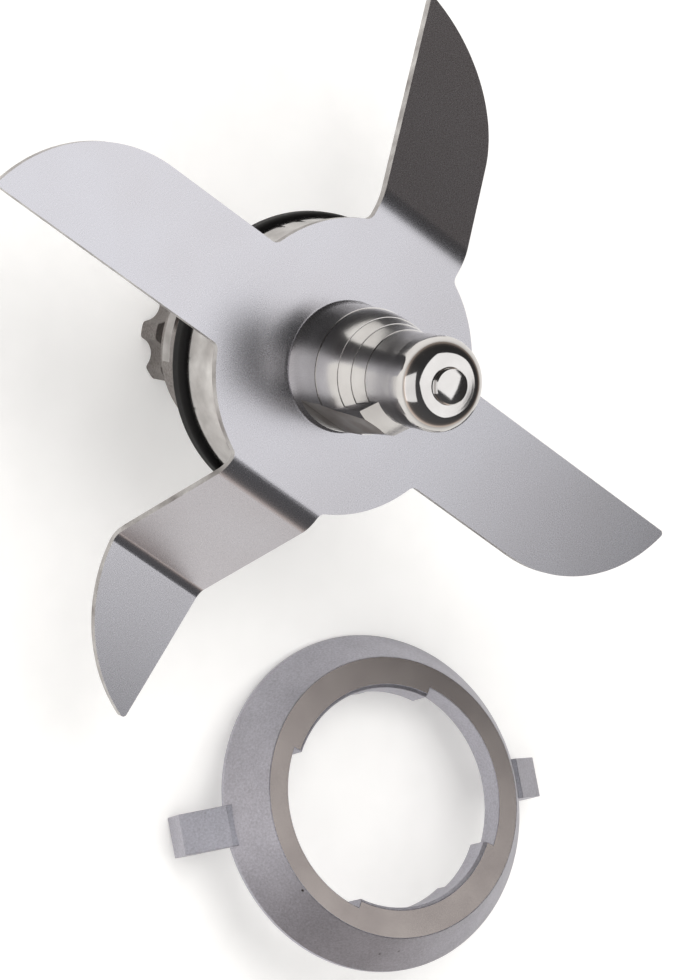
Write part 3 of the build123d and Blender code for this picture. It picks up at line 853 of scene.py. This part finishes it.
@dataclass
class BladeSheet:
    """The bent sheet: a round hub and four wings, cut from one blank."""

    finishes: Finishes
    thickness: float = 1.0
    hub_radius: float = 19.0
    corner_radius: float = 1.2
    straight_edge: float = 7.4
    back_edge: float = 7.5
    tip_round: float = 0.5
    hole_radius: float = 4.2
    edge_break: float = 0.12
    break_deg: float = 50.0
    sharp_deg: float = 40.0
    round_points: int = 8
    back_points: int = 48
    hub_points: int = 24
    hole_points: int = 48
    bend_steps: int = 10
    fold_steps: int = 24
    # Bend lines are cut beyond this share of the hub, and this far past the wing's straight edge
    cut_start: float = 0.7
    cut_margin: float = 1.0
    cut_snap: float = 1e-5
    wings: tuple[Wing, ...] = (
        Wing(270.0, 55.0, 35.5),
        Wing(90.0, 55.0, 35.5),
        Wing(180.0, 54.8, 35.7, ((20.5, -28.0, 7.0),)),
        Wing(0.0, 59.3, 38.3, ((19.1, -54.0, 3.0), (39.9, -2.0, 1.8))),
    )

    def corner(self, side: float) -> tuple[Vector, Vector, Vector]:
        """Rounded corner between the hub and one edge of a wing along +X.

        Args:
            side: Distance of the edge from the wing's axis, signed.

        Returns:
            The corner's centre, its point on the hub and its point on the wing's edge.
        """
        sign = 1 if side > 0 else -1
        centre_y = side + sign * self.corner_radius
        centre_x = math.sqrt((self.hub_radius + self.corner_radius) ** 2 - centre_y**2)
        centre = Vector((centre_x, centre_y))
        on_hub = centre * (self.hub_radius / centre.length)
        on_edge = Vector((centre_x, side))
        return centre, on_hub, on_edge

    def arc(self, centre: Vector, start: Vector, end: Vector, steps: int) -> list[Vector]:
        """Points of the shorter arc about a centre, both ends included.

        Args:
            centre: Centre of the arc.
            start: First point.
            end: Last point.
            steps: Number of steps.

        Returns:
            The points.
        """
        first = start - centre
        turn = first.angle_signed(end - centre)
        points = []
        for n in range(steps + 1):
            angle = -turn * n / steps
            rotated = Matrix.Rotation(angle, 2) @ first
            points.append(centre + rotated)
        return points

    def wing_outline(self, wing: Wing) -> list[Vector]:
        """Outline of one wing along +X, anticlockwise, from hub to hub.

        Args:
            wing: The wing.

        Returns:
            The points from the back edge's corner round the tip to the straight edge's corner.
        """
        back = -self.back_edge
        width = self.straight_edge + self.back_edge
        run = wing.length - wing.curve_start
        arc_radius = (run**2 + width**2) / (2 * width)
        centre = Vector((wing.curve_start, back + arc_radius))
        low_centre, low_hub, low_edge = self.corner(back)
        points = self.arc(low_centre, low_hub, low_edge, self.round_points)
        inner_y = self.straight_edge - self.tip_round
        reach = arc_radius - self.tip_round
        tip_x = centre.x + math.sqrt(reach**2 - (inner_y - centre.y) ** 2)
        tip_centre = Vector((tip_x, inner_y))
        on_arc = centre + (tip_centre - centre).normalized() * arc_radius
        points += self.arc(centre, Vector((centre.x, back)), on_arc, self.back_points)
        tip_end = Vector((tip_x, self.straight_edge))
        points += self.arc(tip_centre, on_arc, tip_end, self.round_points)[1:]
        high_centre, high_hub, high_edge = self.corner(self.straight_edge)
        points += self.arc(high_centre, high_edge, high_hub, self.round_points)
        return points

    def outline(self) -> list[Vector]:
        """Outline of the whole blank, anticlockwise.

        Returns:
            The points.
        """
        points: list[Vector] = []
        for wing in sorted(self.wings, key=lambda one: one.direction):
            turn = Matrix.Rotation(math.radians(wing.direction), 2)
            own = [turn @ point for point in self.wing_outline(wing)]
            if points:
                points += self.arc(Vector((0, 0)), points[-1], own[0], self.hub_points)[1:-1]
            points += own
        points += self.arc(Vector((0, 0)), points[-1], points[0], self.hub_points)[1:-1]
        return points

    def bend_zones(self, wing: Wing) -> list[tuple[float, float, float, float]]:
        """Start, end and the two slopes of each bend, along the sheet's middle.

        Args:
            wing: The wing.

        Returns:
            Start and end distance, and the slopes before and after in radians.
        """
        zones = []
        before = 0.0
        for distance, angle_deg, radius in wing.bends:
            after = math.radians(angle_deg)
            half = (radius + self.thickness / 2) * abs(after - before) / 2
            zones.append((distance - half, distance + half, before, after))
            before = after
        return zones

    def folded(self, wing: Wing, along: float, across: float, depth: float) -> Vector:
        """Place of a point of the blank after bending, in the wing's own frame.

        Args:
            wing: The wing.
            along: Distance from the shaft on the flat blank.
            across: Distance from the wing's axis.
            depth: Distance under the top face.

        Returns:
            The point, with the hub's top face at height zero.
        """
        x, z, slope, travelled = 0.0, 0.0, 0.0, 0.0
        steps = self.fold_steps
        for start, end, before, after in self.bend_zones(wing):
            if along <= start:
                break
            run = start - travelled
            x += run * math.cos(before)
            z += run * math.sin(before)
            part = min(along, end) - start
            turned = (after - before) * part / (end - start)
            for n in range(steps):
                angle = before + turned * (n + 0.5) / steps
                x += part / steps * math.cos(angle)
                z += part / steps * math.sin(angle)
            slope = before + turned
            travelled = min(along, end)
        x += (along - travelled) * math.cos(slope)
        z += (along - travelled) * math.sin(slope)
        offset = self.thickness / 2 - depth
        x += -math.sin(slope) * offset
        z += math.cos(slope) * offset - self.thickness / 2
        return Vector((x, across, z))

    def build(self) -> None:
        """Make the sheet and let it stand for its node."""
        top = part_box("cap_nut")[0][2] / MM
        work = bmesh.new()
        for loop in (self.outline(), self.hole()):
            verts = [work.verts.new((p.x, p.y, 0.0)) for p in loop]
            for n in range(len(verts)):
                work.edges.new((verts[n - 1], verts[n]))
        bmesh.ops.triangle_fill(work, use_beauty=True, edges=work.edges[:])
        for wing in self.wings:
            self.cut_bend_lines(work, wing)
        bmesh.ops.recalc_face_normals(work, faces=work.faces)
        if work.faces[0].normal.z < 0:
            bmesh.ops.reverse_faces(work, faces=work.faces)
        mesh, first_rim = self.thickened(work, top)
        piece = put_in_scene("blade_sheet", mesh, self.finishes.satin)
        # The rims take the sheared finish, whose dark tone is a painted dark reflection along the edges
        mesh.materials.append(self.finishes.sheared)
        for polygon in mesh.polygons[first_rim:]:
            polygon.material_index = 1
        soften(piece, self.edge_break, segments=2, steeper_deg=self.break_deg)
        settle(piece, self.sharp_deg)
        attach(piece, Body.ROTOR.value)
        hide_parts("blade")
        LOG.info("blade sheet: %d faces", len(piece.data.polygons))

    def hole(self) -> list[Vector]:
        """Outline of the hole at the spindle, hidden under the nut.

        Returns:
            The points.
        """
        turns = [2 * math.pi * n / self.hole_points for n in range(self.hole_points)]
        return [Vector((self.hole_radius * math.cos(a), self.hole_radius * math.sin(a))) for a in turns]

    def cut_bend_lines(self, work: Any, wing: Wing) -> None:
        """Cut the flat blank across a wing wherever it bends.

        Args:
            work: Mesh of the flat blank.
            wing: The wing.
        """
        turn = Matrix.Rotation(math.radians(wing.direction), 3, "Z")
        forward = turn @ Vector((1, 0, 0))
        aside = turn @ Vector((0, 1, 0))
        # Only the wing itself is cut, not the hub beyond it or the wings beside it
        reach = self.hub_radius * self.cut_start
        half_width = self.straight_edge + self.cut_margin
        for start, end, _, _ in self.bend_zones(wing):
            for n in range(self.bend_steps + 1):
                along = start + (end - start) * n / self.bend_steps
                faces = [f for f in work.faces if max(v.co.dot(forward) for v in f.verts) > reach]
                faces = [f for f in faces if abs(f.calc_center_median().dot(aside)) < half_width]
                edges = list({edge for face in faces for edge in face.edges})
                verts = list({vert for face in faces for vert in face.verts})
                plane = {"plane_co": forward * along, "plane_no": forward}
                bmesh.ops.bisect_plane(work, geom=faces + edges + verts, dist=self.cut_snap, **plane)

    def thickened(self, work: Any, top: float) -> tuple[Any, int]:
        """Bend the blank and give it its thickness.

        Args:
            work: Mesh of the flat blank, in millimetres.
            top: Height of the hub's top face in millimetres.

        Returns:
            The finished mesh in metres, and the number of its first face along the rim.
        """
        work.verts.index_update()
        flat = [vert.co.copy() for vert in work.verts]
        faces = [[vert.index for vert in face.verts] for face in work.faces]
        rims = [(e.verts[0].index, e.verts[1].index) for e in work.edges if e.is_boundary]
        layers = [[self.placed(point, depth, top) for point in flat] for depth in (0.0, self.thickness)]
        count = len(flat)
        all_faces = faces + [[count + i for i in reversed(face)] for face in faces]
        all_faces += [[a, b, count + b, count + a] for a, b in rims]
        mesh = bpy.data.meshes.new("blade_sheet")
        mesh.from_pydata([point * MM for layer in layers for point in layer], [], all_faces)
        work.free()
        turn_outwards(mesh)
        return mesh, 2 * len(faces)

    def placed(self, point: Vector, depth: float, top: float) -> Vector:
        """Place of one blank point on the bent blade, in millimetres.

        Args:
            point: Point of the flat blank.
            depth: Distance under the top face.
            top: Height of the hub's top face.

        Returns:
            The point in the part's frame.
        """
        for wing in self.wings:
            turn = Matrix.Rotation(math.radians(wing.direction), 3, "Z")
            own = turn.inverted() @ point
            limit = self.bend_zones(wing)[0][0] if wing.bends else math.inf
            if own.x > limit and abs(own.y) < self.straight_edge + self.corner_radius:
                bent = turn @ self.folded(wing, own.x, own.y, depth)
                return bent + Vector((0, 0, top))
        return Vector((point.x, point.y, top - depth))


@dataclass
class Studio:
    """Pale floor, soft boxes and the camera at the photograph's angle."""

    floor_height: float = -28.3
    image_width: int = 680
    focal_px: float = 4740.0
    sensor_mm: float = 36.0
    paper_tones: Stops = ((0.3, "#f1efec"), (0.7, "#f5f3f0"))
    floor_glow: float = 0.2
    # The floor fades to white between these distances, so that no horizon shows from the side
    fade_start: float = 180.0
    fade_end: float = 700.0
    floor_reach: float = 3000.0
    fibre_mm: float = 2.5
    fill: float = 0.62
    # Tones of the room that the metal mirrors, from the pale horizon up to the dark ceiling
    wall_tones: Stops = (
        (0.0, "#f2e1d4"),
        (0.1, "#cbbcb2"),
        (0.22, "#6e6865"),
        (0.4, "#555353"),
        (1.0, "#505052"),
    )
    # Share of that tone, from the side of the wing bent once to the side of the wing bent twice
    side_tones: tuple[Pair, ...] = ((0.05, 0.38), (0.4, 0.45), (0.58, 0.85), (0.9, 1.0))
    overhead: Triple = (-108.0, 118.0, 350.0)
    overhead_size: Pair = (264.0, 287.0)
    overhead_tone: float = 1.18
    side: Triple = (224.0, -240.0, 228.0)
    side_size: Pair = (380.0, 400.0)
    side_tone: float = 0.95
    key: Triple = (-350.0, -350.0, 800.0)
    key_size: Pair = (500.0, 500.0)
    key_tone: float = 4.0
    hub_height: float = 11.7
    hub_right: float = 0.76
    hub_down: float = -15.672
    distance: float = 603.0
    clip_near: float = 10.0
    clip_far: float = 20000.0
    right: Triple = (-0.4869, 0.7063, 0.5138)
    down: Triple = (0.8557, 0.5038, 0.1183)

    def camera(self) -> None:
        """Place the camera as it stood for the photograph."""
        right = Vector(self.right).normalized()
        down = Vector(self.down)
        down = (down - right * down.dot(right)).normalized()
        forward = right.cross(down)
        hub = Vector((0, 0, self.hub_height))
        place = hub - right * self.hub_right - down * self.hub_down - forward * self.distance
        data = bpy.data.cameras.new("camera")
        data.sensor_fit = "HORIZONTAL"
        data.sensor_width = self.sensor_mm
        data.lens = self.focal_px * self.sensor_mm / self.image_width
        data.clip_start = self.clip_near * MM
        data.clip_end = self.clip_far * MM
        camera = bpy.data.objects.new("camera", data)
        bpy.context.scene.collection.objects.link(camera)
        turn = Matrix((right, -down, -forward)).transposed().to_4x4()
        camera.matrix_world = Matrix.Translation(place * MM) @ turn
        bpy.context.scene.camera = camera

    def floor(self) -> None:
        """Pale floor that keeps the object's soft shadow."""
        mesh = bpy.data.meshes.new("floor")
        reach = self.floor_reach * MM
        height = self.floor_height * MM
        corners = [(x * reach, y * reach, height) for x, y in ((-1, -1), (1, -1), (1, 1), (-1, 1))]
        mesh.from_pydata(corners, [], [(0, 1, 2, 3)])
        material = bpy.data.materials.new("studio_paper")
        material.use_nodes = True
        tree = material.node_tree
        tree.nodes.clear()
        output = tree.nodes.new("ShaderNodeOutputMaterial")
        add = partial(add_node, tree)
        place = object_place(tree)
        fibre = add("ShaderNodeTexNoise", {"Scale": pattern_scale(self.fibre_mm)}, Vector=place)
        paper = add("ShaderNodeValToRGB", {"stops": self.paper_tones}, Fac=fibre)
        matt = add("ShaderNodeBsdfDiffuse", Color=paper)
        rays = add("ShaderNodeLightPath").outputs
        through = rays["Is Transmission Ray"]
        seen = add("ShaderNodeMath", {"operation": "MAXIMUM"}, n0=rays["Is Camera Ray"], n1=through)
        away = add("ShaderNodeVectorMath", {"operation": "LENGTH"}, n0=place)
        rise = {"From Min": self.fade_start * MM, "From Max": self.fade_end * MM, "To Min": self.floor_glow}
        rise["interpolation_type"] = "SMOOTHSTEP"
        fade = add("ShaderNodeMapRange", rise, Value=away.outputs["Value"])
        level = add("ShaderNodeMath", {"operation": "MULTIPLY"}, n0=seen, n1=fade)
        glow = add("ShaderNodeEmission", {"Color": WHITE}, Strength=level)
        both = add("ShaderNodeAddShader", n0=matt, n1=glow)
        link_inputs(tree, output, Surface=both)
        put_in_scene("floor", mesh, material)

    def world(self) -> None:
        """Room that the metal mirrors, dark on one side; the camera itself sees white."""
        world = bpy.data.worlds.new("studio")
        bpy.context.scene.world = world
        world.use_nodes = True
        tree = world.node_tree
        tree.nodes.clear()
        output = tree.nodes.new("ShaderNodeOutputWorld")
        add = partial(add_node, tree)
        parts = add("ShaderNodeSeparateXYZ", Vector=add("ShaderNodeTexCoord").outputs["Generated"])
        across = add("ShaderNodeMapRange", {"From Min": -1.0}, Value=parts.outputs["X"])
        walls = add("ShaderNodeValToRGB", {"stops": self.wall_tones}, Fac=parts.outputs["Z"])
        sides = add("ShaderNodeValToRGB", {"stops": self.side_tones}, Fac=across)
        room = add("ShaderNodeMixRGB", {"blend_type": "MULTIPLY", "Fac": 1.0}, Color1=walls, Color2=sides)
        rays = add("ShaderNodeLightPath").outputs
        fill = {"Color1": (self.fill, self.fill, self.fill, 1.0)}
        mirrored = add("ShaderNodeMixRGB", fill, Fac=rays["Is Glossy Ray"], Color2=room)
        seen = add("ShaderNodeMixRGB", {"Color2": WHITE}, Fac=rays["Is Camera Ray"], Color1=mirrored)
        back = add("ShaderNodeBackground", {"Strength": 1.0}, Color=seen)
        link_inputs(tree, output, Surface=back)

    def lamp(self, name: str, place: Vector, aim: Vector, size: Pair, tone: float) -> Any:
        """Add one soft box.

        Args:
            name: Name of the lamp.
            place: Its centre in millimetres.
            aim: The point that it faces, in millimetres.
            size: Width and height in millimetres.
            tone: Brightness of its face, where 1 is white.

        Returns:
            The lamp.
        """
        data = bpy.data.lights.new(name, "AREA")
        data.shape = "RECTANGLE"
        data.size = size[0] * MM
        data.size_y = size[1] * MM
        data.energy = tone * math.pi * data.size * data.size_y
        lamp = bpy.data.objects.new(name, data)
        bpy.context.scene.collection.objects.link(lamp)
        lamp.visible_camera = False
        lamp.location = place * MM
        lamp.rotation_euler = (aim - place).to_track_quat("-Z", "Y").to_euler()
        return lamp

    def build(self) -> None:
        """Set up the whole studio."""
        bpy.context.scene.view_settings.view_transform = "Standard"
        self.camera()
        self.floor()
        self.world()
        hub = Vector((0, 0, self.hub_height))
        above = hub + Vector(self.overhead)
        self.lamp("overhead", above, above - Vector((0, 0, 1)), self.overhead_size, self.overhead_tone)
        self.lamp("side", hub + Vector(self.side), hub, self.side_size, self.side_tone)
        key = self.lamp("key", hub + Vector(self.key), hub, self.key_size, self.key_tone)
        key.visible_glossy = False
        LOG.info("studio ready")


@dataclass
class Housing:
    """Bearing housing with its seal, bearings, circlip and shaft seal."""

    finishes: Finishes
    # Below this height, walls further out than the second size come in by the third
    tail_start: float = -7.5
    tail_wall: float = 11.9
    tail_slimming: float = 1.1
    wall_margin: float = 0.5

    def build(self) -> None:
        """Dress the fixed pieces of the unit."""
        drum = merged_copy("bearing_housing", "housing_turned", self.finishes.turned)
        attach(drum, Body.UNIT.value)
        self.slim_tail(drum)
        even_turned_shading(drum)
        seal = merged_copy("jar_seal", "jar_seal_moulded", self.finishes.rubber)
        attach(seal, Body.UNIT.value)
        even_turned_shading(seal)
        dress_node("shaft_seal_case", self.finishes.pressed)
        dress_node("shaft_seal_lip", self.finishes.rubber)
        dress_node("seal_spring", self.finishes.spring)
        dress_node("circlip", self.finishes.spring)
        for bearing in ("upper", "lower"):
            for part in ("inner_race", "outer_race", "balls"):
                dress_node(f"{bearing}_{part}", self.finishes.ground)
            dress_node(f"{bearing}_cage", self.finishes.cage)
            for side in ("top", "bottom"):
                dress_node(f"{bearing}_{side}_shield", self.finishes.pressed)
        LOG.info("housing dressed")

    def slim_tail(self, housing: Any) -> None:
        """Take the tail's wall in, as it hardly shows behind the seal, and leave it as cast in the star's
        darker finish, which also paints the shade in the gap between the star and the lugs.

        Args:
            housing: The housing's piece.
        """
        mesh = housing.data
        start = self.tail_start * MM
        for vert in mesh.vertices:
            radius = math.hypot(vert.co.x, vert.co.y)
            if vert.co.z < start and radius > self.tail_wall * MM:
                share = 1 - self.tail_slimming * MM / radius
                vert.co.x *= share
                vert.co.y *= share
        # The tail's darker cast finish is partly painted shade for the gap between the star and the lugs
        mesh.materials.append(self.finishes.star)
        wall = (self.tail_wall - self.tail_slimming + self.wall_margin) * MM
        for polygon in mesh.polygons:
            centre = polygon.center
            if centre.z < start and math.hypot(centre.x, centre.y) > wall:
                polygon.material_index = 1


@dataclass
class DriveEnd:
    """Spindle, drive star and what holds it."""

    finishes: Finishes
    edge_mm: float = 0.18

    def build(self) -> None:
        """Dress the turning pieces under the blade."""
        star = merged_copy("drive_coupling", "drive_star_cast", self.finishes.star, self.edge_mm)
        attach(star, Body.ROTOR.value)
        for node in ("spindle", "spacer_sleeve"):
            dress_node(node, self.finishes.turned)
        # The black damper in the star's recess is partly painted shade: a dark piece that keeps the shaded
        # recess black
        dress_node("coupling_damper", self.finishes.rubber)
        for node in ("coupling_washer", "coupling_nut"):
            dress_node(node, self.finishes.spring)
        LOG.info("drive end dressed")


@dataclass
class RetainingRing:
    """Loose bayonet ring, cast and blasted, with a machined top face."""

    finishes: Finishes
    edge_mm: float = 0.22
    flat_mm: float = 0.02
    least_facing: float = 0.99

    def build(self) -> None:
        """Dress the ring, with the machined finish on its top face."""
        ring = merged_copy("retaining_ring", "retaining_ring_cast", self.finishes.cast, self.edge_mm)
        ring.data.materials.append(self.finishes.machined)
        face = next(mount for mount in FRAME["record"]["mounts"] if mount["name"] == "ring_face")
        axis = Vector(face["axis"])
        level = axis.dot(Vector(face["pos_m"]))
        for polygon in ring.data.polygons:
            in_plane = abs(axis.dot(polygon.center) - level) < self.flat_mm * MM
            if in_plane and axis.dot(polygon.normal) > self.least_facing:
                polygon.material_index = 1
        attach(ring, Body.UNIT.value)
        LOG.info("retaining ring: %d faces", len(ring.data.polygons))


def main() -> None:
    """Build the studio and dress every piece of the unit."""
    logging.basicConfig(level=logging.INFO, format="%(name)s: %(message)s")
    FRAME.update(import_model())
    finishes = Finishes()
    Studio().build()
    for assembly in (
        BladeSheet(finishes),
        CapNut(finishes),
        Housing(finishes),
        DriveEnd(finishes),
        RetainingRing(finishes),
    ):
        assembly.build()


if __name__ == "__main__":
    main()
